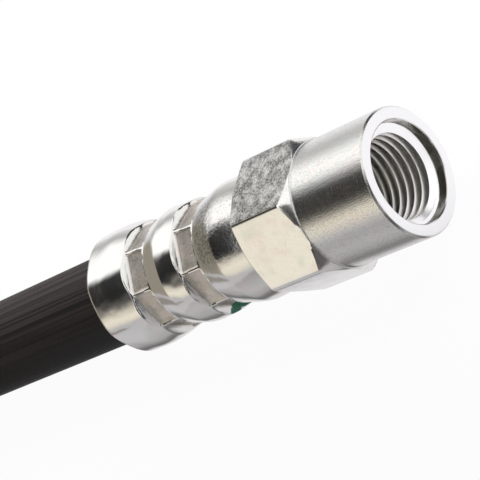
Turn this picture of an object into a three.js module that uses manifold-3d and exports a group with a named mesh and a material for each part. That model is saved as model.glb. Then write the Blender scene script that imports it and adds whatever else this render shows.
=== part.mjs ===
// Hydraulic brake hose: a rubber hose with a steel end fitting crimped on at each end.
// One end has an internal thread in a round nose, the other an external thread.
// Millimetres, +Z up. The internally threaded end lies along +X on one flat of its hexagon,
// and the hose leaves it towards -X.

import * as THREE from 'three';
import { mergeVertices } from 'three/addons/utils/BufferGeometryUtils.js';
import Module from 'manifold-3d';

// Fits
const seatClearance = 0.3; // between two pieces that are pressed or crimped together
const hoseClearance = 0.35; // round the hose where it enters its ferrule

// Hose
const hoseDiameter = 10.5;
const hoseBore = 3.2;

// Hexagon of both fittings
const hexFlats = 14;
const hexLength = 8.35;
const hexFrontChamfer = 1; // along the axis, at a corner
const hexBackChamfer = 0.6;
const hexFaceStep = 0.05; // the round end faces are this much inside the flats
const hexCoreStep = 0.4; // the round core is this much inside the end faces

// Thread of both fittings
const threadDiameter = 10;
const threadPitch = 1;
const tapAllowance = 0.1; // the drilled socket is this much tighter than the thread's crests
const socketCrestShare = 1 / 4; // flat of an internal crest, as a share of the pitch
const shankCrestShare = 1 / 8;

// Internally threaded nose
const noseLength = 9.85;
const noseWall = 1.4; // round the plain mouth ahead of the thread
const noseEdge = 0.3;
const mouthWidening = 0.4; // the plain mouth is this much deeper than the thread
const mouthDepth = 1.1;
const mouthCone = 0.6;
const socketDepth = 12.2; // from the nose's face to the foot of the pipe seat
const socketThread = 10.2; // from the nose's face to the end of the thread
const seatAngle = 60; // degrees between the pipe seat and the axis

// Externally threaded end
const reliefLength = 1.6;
const reliefDepth = 0.3; // below the thread's root
const shankThread = 9.5;
const shankEdge = 0.8;
const pilotDiameter = 7;
const pilotLength = 1.6;
const pilotEdge = 0.9;

// Passage and hose tail of both fittings
const passage = 3;
const tailPassage = 2.5;
const tailDiameter = 4.6;
const tailBarb = 0.25; // height of a barb
const barbCount = 4;
const passageCone = 1; // where the passage widens from the tail to the hexagon
const tailStop = 3; // the tail ends this far inside the ferrule
const neckDiameter = 6.4;
const collarStep = 0.7;
const collarLength = 1.2;

// Ferrule
const ferruleLength = 23.5;
const ferruleWall = 1.4;
const flangeWall = 1.2; // the ferrule's turned-in end, behind the hexagon
const lipRound = 0.5;
const jawCount = 8;
const jawTurn = 27.5; // degrees from the top to the middle of the first jaw mark
const grooveStart = 7.25; // from the lip to the middle of the first crimped groove
const grooveSpacing = 7.95;
const grooveLength = 3;
const grooveSlope = 0.35; // length of the sloping wall at each side of a groove
const pinchLength = 2.4; // of the tightest stretch of bore under a groove
const pinchSlope = 1.2; // length over which the bore opens again at each side of it
const ridgeWidth = 0.5; // left standing between two jaw marks
const ridgeDrop = 0.65; // ridges below the ferrule's largest radius
const markDrop = 1.15; // flat jaw marks below the ferrule's largest radius
const markWall = 1; // wall left under a jaw mark
const middleDrop = 0.4; // middle bulge below the ferrule's largest radius
const innerDrop = 0.28; // bulge next to the hexagon below the ferrule's largest radius
const endDrop = 0.8; // edge next to the hexagon below the ferrule's largest radius

// Smoothness
const fittingSides = 30;
const ferruleSides = 32;
const hoseSides = 12;
const hoseSteps = 14;
const rodShare = 0.4; // parts of a side by which pieces that meet are turned apart
const shankShare = 0.2;
const cutReach = 1; // a cutting piece runs on this far past the face that it opens
const coneReach = 1.2; // the cones on a hexagon's corners run on to this many times their depth

// Middle line of the hose between its two ferrule lips, chosen by hand. It runs straight out of
// each ferrule, comes down to the floor and swings sideways in one lazy bend each way.
const routeFar = new THREE.Vector3(-266, 26, 7);
const route = [
  [-21, 0, 7], [-32, 0, 7], [-43, 0, 7], [-54, 0, 7], [-66, 0.3, 6.75], [-79, 1.4, 6.1],
  [-92, 3.4, 5.55], [-105, 6, 5.33], [-118, 8.7, 5.3], [-131, 11.1, 5.3], [-143.5, 13, 5.3],
  [-156, 14.9, 5.3], [-169, 17.3, 5.3], [-182, 20, 5.33], [-195, 22.6, 5.55], [-208, 24.6, 6.1],
  [-221, 25.7, 6.75], [-233, 26, 7], [-244, 26, 7], [-255, 26, 7], routeFar.toArray(),
];

// Sizes worked out from those above
const hoseRadius = hoseDiameter / 2;
const ferruleRadius = hoseRadius + hoseClearance + ferruleWall;
const grooves = [grooveStart, grooveStart + grooveSpacing];
const axisHeight = Math.max(hexFlats / 2, ferruleRadius);
const hexBack = ferruleLength + seatClearance; // every length on an end starts at its lip
const hexFront = hexBack + hexLength;
const mouthRadius = threadDiameter / 2 + mouthWidening;
const noseRadius = mouthRadius + noseWall;
const noseFace = hexFront + noseLength;
const hexFaceRadius = hexFlats / 2 - hexFaceStep;
const hexCore = hexFaceRadius - hexCoreStep;
const neckRadius = neckDiameter / 2;
const collarRadius = neckRadius + collarStep;
const collarStart = hexBack - 2 * seatClearance - flangeWall;
const hoseStart = collarStart - collarLength - seatClearance;
const threadRadius = threadDiameter / 2;
const threadHeight = threadPitch * Math.sqrt(3) / 2; // of the full 60 degree triangle
const socketRadius = threadRadius - threadHeight * 5 / 8; // the usual shares of that height
const rootRadius = threadRadius - threadHeight * 17 / 24;

const wasm = await Module();
wasm.setup();

function solidOf(geometry) {
  const bare = geometry.clone();
  bare.deleteAttribute('normal');
  bare.deleteAttribute('uv');
  const merged = mergeVertices(bare, 1e-4);
  return new wasm.Manifold(new wasm.Mesh({
    numProp: 3,
    vertProperties: new Float32Array(merged.attributes.position.array),
    triVerts: new Uint32Array(merged.index.array),
  }));
}

function geometryOf(solid) {
  const { vertProperties, triVerts } = solid.getMesh();
  const geometry = new THREE.BufferGeometry();
  geometry.setAttribute('position', new THREE.BufferAttribute(vertProperties, 3));
  geometry.setIndex(new THREE.BufferAttribute(triVerts, 1));
  const faceted = geometry.toNonIndexed();
  faceted.computeVertexNormals();
  return faceted;
}

// Turns a profile of [place along the axis, radius] pairs about the X axis.
function turned(profile, sides) {
  const points = profile.map(([along, radius]) => new THREE.Vector2(radius, along));
  return new THREE.LatheGeometry(points, sides).rotateZ(-Math.PI / 2);
}

function turnedRing(profile, sides) {
  return turned([...profile, profile[0]], sides);
}

// The same, turned on by part of a side, so that its corners stay off those of the piece it meets.
function turnedBetween(profile, sides, share) {
  return turned(profile, sides).rotateX(share * 2 * Math.PI / sides);
}

// Rod with a right-hand 60 degree thread, running back along the axis from a place ahead of its
// first full turn. Each turn has two rows of points at its crest and one in its valley, and the
// end of a row is the start of the row three further on. The crest's flat is a share of the pitch.
// Where fade is set, the valley fades out over the last turn.
function threadedRod(from, turns, crestRadius, valleyRadius, crestShare, fade) {
  const phases = [0, crestShare, (1 + crestShare) / 2];
  const lastRow = Math.round(turns) * phases.length;
  const fullRows = lastRow - phases.length;
  const positions = [];
  const indices = [];
  const addPoint = (row, side) => {
    const turn = Math.floor(row / phases.length) + phases[row % phases.length] + side / fittingSides;
    const depth = fade ? THREE.MathUtils.clamp(turns - 1 - turn, 0, 1) : 1;
    const valley = crestRadius + (valleyRadius - crestRadius) * depth;
    const radius = row % phases.length === 2 ? valley : crestRadius;
    const angle = (side + rodShare) * 2 * Math.PI / fittingSides;
    positions.push(from - turn * threadPitch, radius * Math.sin(angle), radius * Math.cos(angle));
  };
  for (let row = 0; row <= fullRows; row += 1) {
    for (let side = 0; side < fittingSides; side += 1) {
      addPoint(row, side);
    }
  }
  for (let row = fullRows + 1; row <= lastRow; row += 1) {
    addPoint(row, 0);
  }
  const at = (row, side) => {
    if (side === fittingSides) {
      return at(row + phases.length, 0);
    }
    const lastFull = (fullRows + 1) * fittingSides - 1;
    return row <= fullRows ? row * fittingSides + side : lastFull + row - fullRows;
  };
  for (let row = 0; row < fullRows; row += 1) {
    for (let side = 0; side < fittingSides; side += 1) {
      indices.push(at(row, side), at(row, side + 1), at(row + 1, side));
      indices.push(at(row, side + 1), at(row + 1, side + 1), at(row + 1, side));
    }
  }
  const capAt = (row, facing) => {
    const loop = [];
    for (let side = 0; side <= fittingSides; side += 1) {
      loop.push(at(row, side));
    }
    loop.push(at(row + 2, 0), at(row + 1, 0));
    const centre = positions.length / 3;
    positions.push(from - (row / phases.length + 0.5) * threadPitch, 0, 0);
    loop.forEach((point, place) => {
      const next = loop[(place + 1) % loop.length];
      indices.push(centre, facing ? next : point, facing ? point : next);
    });
  };
  capAt(0, true);
  capAt(fullRows, false);
  const geometry = new THREE.BufferGeometry();
  geometry.setAttribute('position', new THREE.BufferAttribute(new Float32Array(positions), 3));
  geometry.setIndex(indices);
  return solidOf(geometry);
}

// Hexagon with its corners turned back at both ends, standing on one flat.
function hexagon() {
  const cornerRadius = hexFlats / Math.sqrt(3);
  const prism = new THREE.CylinderGeometry(cornerRadius, cornerRadius, hexLength, 6, 1, false, Math.PI / 6);
  prism.rotateZ(-Math.PI / 2).translate((hexBack + hexFront) / 2, 0, 0);
  const coneTop = hexFaceRadius + (cornerRadius - hexFaceRadius) * coneReach;
  const barrel = turned([
    [hexBack, 0],
    [hexBack, hexFaceRadius],
    [hexBack + hexBackChamfer * coneReach, coneTop],
    [hexFront - hexFrontChamfer * coneReach, coneTop],
    [hexFront, hexFaceRadius],
    [hexFront, 0],
  ], fittingSides);
  return solidOf(prism).intersect(solidOf(barrel));
}

// Outside of a fitting from the tip of its hose tail to the front of its hexagon's core.
function tailProfile() {
  const root = tailDiameter / 2;
  const barbLength = (hoseStart - tailStop) / barbCount;
  const profile = [[tailStop, 0]];
  for (let barb = 0; barb < barbCount; barb += 1) {
    const start = tailStop + barb * barbLength;
    profile.push([start, root], [start + barbLength, root + tailBarb]);
  }
  const collarBack = collarStart - collarLength;
  profile.push([hoseStart, root], [collarBack, root], [collarBack, collarRadius]);
  profile.push([collarStart, collarRadius], [collarStart, neckRadius]);
  profile.push([hexBack + hexBackChamfer, neckRadius], [hexBack + hexBackChamfer, hexCore]);
  profile.push([hexFront - hexFrontChamfer, hexCore]);
  return profile;
}

// Drilled passage from beyond the tail's tip, wider from the hexagon on.
function passageProfile() {
  return [
    [tailStop - cutReach, 0],
    [tailStop - cutReach, tailPassage / 2],
    [hexBack - passageCone, tailPassage / 2],
    [hexBack, passage / 2],
  ];
}

function femaleFitting() {
  const drillRadius = socketRadius - tapAllowance;
  const seatCone = (drillRadius - passage / 2) / Math.tan(THREE.MathUtils.degToRad(seatAngle));
  const outside = turned([
    ...tailProfile(),
    [hexFront - hexFrontChamfer, noseRadius],
    [noseFace - noseEdge, noseRadius],
    [noseFace, noseRadius - noseEdge],
    [noseFace, 0],
  ], fittingSides);
  const inside = turned([
    ...passageProfile(),
    [noseFace - socketDepth - seatCone, passage / 2],
    [noseFace - socketDepth, drillRadius],
    [noseFace - mouthDepth - mouthCone, drillRadius],
    [noseFace - mouthDepth, mouthRadius],
    [noseFace + cutReach, mouthRadius],
    [noseFace + cutReach, 0],
  ], fittingSides);
  const threadStart = noseFace - mouthDepth + threadPitch;
  const turns = (socketThread - mouthDepth) / threadPitch + 1;
  const thread = threadedRod(threadStart, turns, socketRadius, threadRadius, socketCrestShare, true);
  return solidOf(outside).add(hexagon()).subtract(solidOf(inside)).subtract(thread);
}

function maleFitting() {
  const shankStart = hexFront + reliefLength;
  const shankEnd = shankStart + shankThread;
  const end = shankEnd + pilotLength;
  const reliefRadius = rootRadius - reliefDepth;
  const pilotRadius = pilotDiameter / 2;
  const outside = turned([
    ...tailProfile(),
    [hexFront - hexFrontChamfer, reliefRadius],
    [shankEnd - shankEdge, reliefRadius],
    [shankEnd - shankEdge, pilotRadius],
    [end - pilotEdge, pilotRadius],
    [end, pilotRadius - pilotEdge],
    [end, 0],
  ], fittingSides);
  const shank = turnedBetween([
    [shankStart, 0],
    [shankStart, rootRadius],
    [shankStart + shankEdge, rootRadius + shankEdge],
    [shankEnd - shankEdge, rootRadius + shankEdge],
    [shankEnd, rootRadius],
    [shankEnd, 0],
  ], fittingSides, shankShare);
  const inside = turned([
    ...passageProfile(),
    [end + cutReach, passage / 2],
    [end + cutReach, 0],
  ], fittingSides);
  const turns = shankThread / threadPitch + 2; // one turn runs past the shank at each end
  const thread = threadedRod(shankEnd + threadPitch, turns, threadRadius, rootRadius, shankCrestShare, false);
  return solidOf(outside).add(hexagon()).add(solidOf(shank).intersect(thread)).subtract(solidOf(inside));
}

// Rounded flank of a bulge, from its level crown to its edge, each a [place, radius] pair.
function flank([crownPlace, crownRadius], [edgePlace, edgeRadius]) {
  return [0, 1 / 2, 1].map((share) => [
    crownPlace + (edgePlace - crownPlace) * share,
    edgeRadius + (crownRadius - edgeRadius) * Math.cos(share * Math.PI / 2),
  ]);
}

function bulge(from, to, crownRadius) {
  const crown = [(from[0] + to[0]) / 2, crownRadius];
  return [...flank(crown, from).reverse(), ...flank(crown, to).slice(1)];
}

// Inside of the ferrule where it holds the hose, lip first.
function gripProfile() {
  const open = ferruleRadius - ferruleWall;
  const pinched = ferruleRadius - markDrop - markWall;
  const halfPinch = pinchLength / 2;
  const profile = [[0, open]];
  for (const groove of grooves) {
    profile.push([groove - halfPinch - pinchSlope, open], [groove - halfPinch, pinched]);
    profile.push([groove + halfPinch, pinched], [groove + halfPinch + pinchSlope, open]);
  }
  profile.push([hexBack - seatClearance - flangeWall, open]);
  return profile;
}

// The flat-faced end of one crimping jaw, above the axis.
function jaw(groove) {
  const floor = ferruleRadius - markDrop;
  const height = 2 * markDrop;
  const widening = grooveSlope * height / (markDrop - ridgeDrop);
  const half = grooveLength / 2;
  const outline = new THREE.Shape([
    new THREE.Vector2(groove - half + grooveSlope, floor),
    new THREE.Vector2(groove + half - grooveSlope, floor),
    new THREE.Vector2(groove + half - grooveSlope + widening, floor + height),
    new THREE.Vector2(groove - half + grooveSlope - widening, floor + height),
  ]);
  const width = 2 * floor * Math.tan(Math.PI / jawCount) - ridgeWidth;
  const geometry = new THREE.ExtrudeGeometry(outline, { depth: width, bevelEnabled: false });
  return geometry.translate(0, 0, -width / 2).rotateX(Math.PI / 2);
}

function ferrule() {
  const valley = ferruleRadius - ridgeDrop;
  const half = grooveLength / 2;
  const [first, second] = grooves;
  const flangeRadius = neckRadius + seatClearance;
  const lipCut = lipRound * (1 - Math.SQRT1_2);
  const endEdge = [ferruleLength, ferruleRadius - endDrop];
  const outside = [
    [0, ferruleRadius - lipRound],
    [lipCut, ferruleRadius - lipCut],
    ...flank([lipRound, ferruleRadius], [first - half, valley]),
    ...bulge([first + half, valley], [second - half, valley], ferruleRadius - middleDrop),
    ...bulge([second + half, valley], endEdge, ferruleRadius - innerDrop),
  ];
  const inside = [
    [ferruleLength, flangeRadius],
    [ferruleLength - flangeWall, flangeRadius],
    ...gripProfile().reverse(),
  ];
  let shell = solidOf(turnedRing([...outside, ...inside], ferruleSides));
  for (const groove of grooves) {
    for (let mark = 0; mark < jawCount; mark += 1) {
      const angle = THREE.MathUtils.degToRad(jawTurn) + mark * 2 * Math.PI / jawCount;
      shell = shell.subtract(solidOf(jaw(groove).rotateX(angle)));
    }
  }
  return shell;
}

// Everything that a ferrule and a hose tail squeeze away from the hose end between them.
function squeezeCuts(place) {
  const grip = gripProfile().map(([along, radius]) => [along, radius - seatClearance]);
  const outer = ferruleRadius + ferruleWall;
  const around = [grip[0], [0, outer], [grip.at(-1)[0], outer]];
  const ring = turnedBetween([...around, ...grip.toReversed()], hoseSides, 1 / 2);
  const tailRadius = (tailDiameter / 2 + tailBarb + seatClearance) / Math.cos(Math.PI / hoseSides);
  const tail = turnedBetween([
    [tailStop - seatClearance, 0],
    [tailStop - seatClearance, tailRadius],
    [hexBack, tailRadius],
    [hexBack, 0],
  ], hoseSides, 1 / 2);
  return [ring, tail].map((geometry) => solidOf(geometry.applyMatrix4(place)));
}

function regularOutline(radius) {
  const points = [];
  for (let corner = 0; corner < hoseSides; corner += 1) {
    const angle = corner * 2 * Math.PI / hoseSides;
    points.push(new THREE.Vector2(radius * Math.cos(angle), radius * Math.sin(angle)));
  }
  return points;
}

function hose(nearPlace, farPlace) {
  const inside = new THREE.Vector3(hoseStart, 0, 0);
  const points = route.map(([x, y, z]) => new THREE.Vector3(x, y, z - route[0][2] + axisHeight));
  points.unshift(inside.clone().applyMatrix4(nearPlace));
  points.push(inside.clone().applyMatrix4(farPlace));
  const section = new THREE.Shape(regularOutline(hoseRadius));
  section.holes.push(new THREE.Path(regularOutline(hoseBore / 2)));
  const tube = new THREE.ExtrudeGeometry(section, {
    steps: hoseSteps,
    extrudePath: new THREE.CatmullRomCurve3(points, false, 'catmullrom', 0.5),
  });
  let solid = solidOf(tube);
  for (const cut of [...squeezeCuts(nearPlace), ...squeezeCuts(farPlace)]) {
    solid = solid.subtract(cut);
  }
  return solid;
}

const zincPlate = new THREE.MeshStandardMaterial({ color: 0xcfcdc6, roughness: 0.28, metalness: 1 });
const blackRubber = new THREE.MeshStandardMaterial({ color: 0x231f1e, roughness: 0.7, metalness: 0 });

function piece(name, solid, material) {
  const mesh = new THREE.Mesh(geometryOf(solid), material.clone());
  mesh.name = name;
  return mesh;
}

// One end of the hose: its lip is at the group's origin, and its fitting points along the group's +X.
function hoseEnd(prefix, fitting) {
  const end = new THREE.Group();
  end.add(piece(`${prefix}_fitting`, fitting, zincPlate));
  end.add(piece(`${prefix}_ferrule`, ferrule(), zincPlate));
  return end;
}

const brakeHose = new THREE.Group();

const nearEnd = hoseEnd('female', femaleFitting());
nearEnd.position.set(-noseFace / 2, 0, axisHeight);
nearEnd.updateMatrix();
brakeHose.add(nearEnd);

const farEnd = hoseEnd('male', maleFitting());
farEnd.position.set(routeFar.x, routeFar.y, axisHeight);
farEnd.rotation.z = Math.PI;
farEnd.updateMatrix();
brakeHose.add(farEnd);

brakeHose.add(piece('hose', hose(nearEnd.matrix, farEnd.matrix), blackRubber));

export default brakeHose;
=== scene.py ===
"""Looks of a rubber brake hose with a crimped zinc-plated fitting at each end.

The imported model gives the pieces' places. Every operator below makes one kind of piece round it,
in metres, with +X out of the threaded mouth. Lengths on an end start at its ferrule's lip.
"""

import math

import bpy
import numpy as np
from bpy.props import FloatProperty, FloatVectorProperty, IntProperty, PointerProperty
from mathutils import Matrix, Vector


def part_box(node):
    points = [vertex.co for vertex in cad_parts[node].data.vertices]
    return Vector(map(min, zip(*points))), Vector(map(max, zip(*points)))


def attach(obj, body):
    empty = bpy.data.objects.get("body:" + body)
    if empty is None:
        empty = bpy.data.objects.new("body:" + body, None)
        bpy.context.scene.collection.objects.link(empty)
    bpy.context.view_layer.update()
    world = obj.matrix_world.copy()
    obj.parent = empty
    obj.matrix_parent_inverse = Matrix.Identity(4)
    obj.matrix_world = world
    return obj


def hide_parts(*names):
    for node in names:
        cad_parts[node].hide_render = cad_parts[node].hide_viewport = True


bl_info = {
    "name": "Brake hose",
    "version": (1, 0, 0),
    "blender": (4, 5, 0),
    "location": "View3D > Sidebar > Brake hose",
    "description": "Makes a rubber brake hose with crimped zinc-plated fittings",
    "category": "Add Mesh",
}

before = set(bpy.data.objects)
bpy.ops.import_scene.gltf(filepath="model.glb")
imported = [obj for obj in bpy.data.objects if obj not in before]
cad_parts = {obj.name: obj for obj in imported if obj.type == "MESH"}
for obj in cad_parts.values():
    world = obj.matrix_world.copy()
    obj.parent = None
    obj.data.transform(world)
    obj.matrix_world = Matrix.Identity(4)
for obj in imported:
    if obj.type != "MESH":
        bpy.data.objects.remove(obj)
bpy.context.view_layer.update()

MM = 0.001

# Middle line of the hose between its two ferrule lips, the same points as in the solid model.
ROUTE = [
    (-0.021, 0, 0.007), (-0.032, 0, 0.007), (-0.043, 0, 0.007), (-0.054, 0, 0.007),
    (-0.066, 0.0003, 0.00675), (-0.079, 0.0014, 0.0061), (-0.092, 0.0034, 0.00555),
    (-0.105, 0.006, 0.00533), (-0.118, 0.0087, 0.0053), (-0.131, 0.0111, 0.0053),
    (-0.1435, 0.013, 0.0053), (-0.156, 0.0149, 0.0053), (-0.169, 0.0173, 0.0053),
    (-0.182, 0.02, 0.00533), (-0.195, 0.0226, 0.00555), (-0.208, 0.0246, 0.0061),
    (-0.221, 0.0257, 0.00675), (-0.233, 0.026, 0.007), (-0.244, 0.026, 0.007),
    (-0.255, 0.026, 0.007), (-0.266, 0.026, 0.007),
]

near_ferrule_low, near_ferrule_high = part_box("female_ferrule")
near_fitting_low, near_fitting_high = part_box("female_fitting")
far_ferrule_low, far_ferrule_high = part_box("male_ferrule")
hose_low, hose_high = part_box("hose")


def length(name, millimetres, description):
    """Property of a length, given in millimetres and kept in metres."""
    return FloatProperty(
        name=name, description=description, default=millimetres * MM, min=0, precision=5, unit="LENGTH"
    )


def colour(name, default, description):
    return FloatVectorProperty(
        name=name, description=description, default=default, size=3, min=0, max=1, subtype="COLOR"
    )


class HoseSizes(bpy.types.PropertyGroup):
    diameter: length("Diameter", 10.5, "Outside of the rubber")
    bore: length("Bore", 3.2, "Passage through the rubber")
    rib_count: IntProperty(name="Ribs", description="Fine ribs round the rubber", default=72, min=3)
    rib_depth: length("Rib depth", 0.05, "Depth of the furrows between the ribs")
    ring_spacing: length("Ring spacing", 2, "Distance between the rings of the mesh")


class FittingSizes(bpy.types.PropertyGroup):
    flats: length("Across flats", (near_fitting_high.z - near_fitting_low.z) / MM, "Width of the hexagon")
    hex_length: length("Hexagon length", 8.35, "Length of the hexagon along the axis")
    front_chamfer: length("Front chamfer", 1, "Length of the turned corner at the tip's side")
    back_chamfer: length("Back chamfer", 0.6, "Length of the turned corner at the ferrule's side")
    face_step: length("Face step", 0.05, "The round end faces are this much inside the flats")
    corner_round: length("Corner rounding", 0.6, "Radius of the hexagon's long edges")
    edge_soft: length("Edge softness", 0.14, "Width of the worn line where a cone meets a flat")
    thread_diameter: length("Thread diameter", 10, "Nominal diameter of both threads")
    thread_pitch: length("Thread pitch", 1, "Distance between two crests")
    nose_edge: length("Nose edge", 0.2, "Chamfer round the nose's end")
    nose_wall: length("Nose wall", 1.4, "Wall round the plain mouth")
    mouth_widening: length("Mouth widening", 0.4, "The plain mouth is this much deeper than the thread")
    mouth_depth: length("Mouth depth", 1.1, "Length of the plain mouth")
    mouth_edge: length("Mouth edge", 0.12, "Chamfer round the mouth")
    mouth_cone: length("Mouth cone", 0.35, "Length of the cone that leads into the thread")
    socket_depth: length("Socket depth", 12.2, "From the nose's end to the pipe seat")
    socket_thread: length("Socket thread", 10.2, "From the nose's end to the last turn")
    relief_length: length("Relief length", 1.6, "Groove between the hexagon and the shank")
    relief_depth: length("Relief depth", 0.3, "Depth of that groove below the thread's root")
    shank_length: length("Shank length", 9.5, "Threaded length of the shank")
    pilot_diameter: length("Pilot diameter", 7, "Plain pin ahead of the shank")
    pilot_length: length("Pilot length", 1.6, "Length of that pin")
    pilot_edge: length("Pilot edge", 0.9, "Chamfer round the pin's end")
    passage: length("Passage", 3, "Drilled way through the fitting")
    tail_passage: length("Tail passage", 2.5, "Drilled way through the hose tail")
    tail_diameter: length("Tail diameter", 4.6, "Hose tail between its barbs")
    tail_barb: length("Barb height", 0.25, "Height of a barb on the tail")
    tail_stop: length("Tail stop", 3, "The tail ends this far inside the ferrule")
    neck_diameter: length("Neck diameter", 6.4, "Neck that the ferrule is turned in round")
    collar_step: length("Collar step", 0.7, "The collar behind the neck is this much larger")
    collar_length: length("Collar length", 1.2, "Length of that collar")


class FerruleSizes(bpy.types.PropertyGroup):
    wall: length("Wall", 1.4, "Wall of the sleeve before crimping")
    flange_wall: length("Flange wall", 1.2, "Turned-in end behind the hexagon")
    lip_round: length("Lip rounding", 0.5, "Radius of the lip's outer edge")
    end_round: length("End rounding", 0.35, "Radius of the edge next to the hexagon")
    jaw_count: IntProperty(name="Jaws", description="Jaw marks round each groove", default=8, min=3)
    jaw_turn: FloatProperty(
        name="Jaw turn",
        description="From the top to the first mark",
        default=math.radians(27.5),
        unit="ROTATION",
    )
    groove_start: length("Groove start", 7.25, "From the lip to the middle of the first groove")
    groove_spacing: length("Groove spacing", 7.95, "Between the middles of the two grooves")
    groove_length: length("Groove length", 3, "Length of a jaw's face along the axis")
    groove_slope: length("Groove slope", 0.3, "Length of the sloping wall beside a mark")
    pinch_length: length("Pinch length", 2.4, "Tightest stretch of bore under a groove")
    pinch_slope: length("Pinch slope", 1.2, "Length over which the bore opens again")
    ridge_width: length("Ridge width", 0.45, "Metal left standing between two marks")
    ridge_drop: length("Ridge drop", 0.65, "Ridges below the largest radius")
    mark_drop: length("Mark drop", 1.4, "Jaw marks below the largest radius")
    mark_wall: length("Mark wall", 0.75, "Wall left under a mark")
    mark_soft: length("Mark softness", 0.12, "Rounding of the pressed edges")
    side_slope: FloatProperty(
        name="Side slope", description="Steepness of a ridge between two marks", default=1.7, min=0.1
    )
    shoulder: length("Shoulder", 0.15, "Bulges end this much above the ridges, at the lip's side")
    swell: length("Swell", 0.075, "Bulges rise this much in line with the marks that follow them")
    lip_crown: length("Lip crown", 2.6, "From the lip to the highest place of its bulge")
    lip_drop: length("Lip drop", 0.02, "The lip's edge is this much below that crown")
    ramp_drop: length("Ramp drop", 0.28, "The slope behind a groove starts this much below the ridges")
    middle_crown: length("Middle crown", 2.35, "From the first groove's end to the next crown")
    inner_crown: length("Inner crown", 3.1, "From the second groove's end to the next crown")
    middle_drop: length("Middle drop", 0.4, "Middle bulge below the largest radius")
    inner_drop: length("Inner drop", 0.28, "Bulge next to the hexagon below the largest radius")
    end_drop: length("End drop", 0.8, "Edge next to the hexagon below the largest radius")
    clearance: length("Clearance", 0.3, "Between two pieces that are pressed together")


class Finish(bpy.types.PropertyGroup):
    zinc: colour("Zinc", (0.80, 0.79, 0.76), "Bright zinc plate")
    zinc_warm: colour("Warm zinc", (0.86, 0.79, 0.77), "Pink cast in the plate")
    zinc_cool: colour("Cool zinc", (0.78, 0.81, 0.78), "Green cast in the plate")
    zinc_grey: colour("Grey zinc", (0.17, 0.17, 0.16), "Dull plate on the drawn flats")
    # Painted light: the socket's first turns near the mouth are lighter than the painted shade deeper in.
    zinc_lit_turns: colour("Thread zinc", (0.99, 0.97, 0.94), "Plate on the socket's first turns")
    # Painted shade deep in the socket and on its upper turns; the same dark zinc is tool wear on the ferrules'
    # jaw marks.
    zinc_shade_and_wear: colour("Deep zinc", (0.46, 0.45, 0.4), "Thin plate, deep in the socket or worn by a tool")
    zinc_faced: colour("Faced zinc", (0.99, 0.99, 0.99), "Plate on the freshly cut end faces")
    zinc_flat: colour("Flat zinc", (0.93, 0.92, 0.89), "Smooth plate on the hexagon's other flats")
    zinc_pressed: colour("Pressed zinc", (0.71, 0.645, 0.585), "Plate that the crimping jaws have dulled")
    rubber: colour("Rubber", (0.008, 0.007, 0.0075), "Black hose rubber")
    # Bloom on the rubber, and painted sheen where it is laid on heavier on the top.
    rubber_bloom_and_sheen: colour("Rubber bloom", (0.064, 0.05, 0.045), "Brown-grey bloom on the rubber")
    paint: colour("Paint", (0.06, 0.29, 0.18), "Inspection paint on the ferrule")
    floor: colour("Floor", (0.9, 0.9, 0.9), "Pale sheet under and behind the hose")
    # Painted shade: the sheet is darker in front of the hose, where its shadow falls.
    floor_front_shade: colour("Floor in front", (0.25, 0.25, 0.26), "The same sheet in front of the hose")


def sizes_of(context):
    """The scene's sizes and colours, in the order of GROUPS."""
    return [getattr(context.scene, name) for name in GROUPS]


class Value:
    """An output socket that takes part in arithmetic: each operator adds its Math node."""

    def __init__(self, nodes, socket):
        self.nodes = nodes
        self.socket = socket

    def output(self, name):
        return Value(self.nodes, self.socket.node.outputs[name])

    def math(self, operation, *others):
        return self.nodes.add("ShaderNodeMath", {"operation": operation}, dict(enumerate((self, *others))))

    def __add__(self, other):
        return self.math("ADD", other)

    __radd__ = __add__

    def __mul__(self, other):
        return self.math("MULTIPLY", other)

    __rmul__ = __mul__

    def __sub__(self, other):
        return self.math("SUBTRACT", other)

    def __rsub__(self, other):
        return self * -1 + other

    def __truediv__(self, other):
        return self.math("DIVIDE", other)

    def __rtruediv__(self, other):
        return self.math("POWER", -1) * other

    def __neg__(self):
        return self * -1

    def between(self, low, high):
        """0 at low, 1 at high, with a soft step between them."""
        return self.nodes.add(
            "ShaderNodeMapRange",
            {"interpolation_type": "SMOOTHSTEP"},
            {"Value": self, "From Min": low, "From Max": high},
        )


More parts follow.
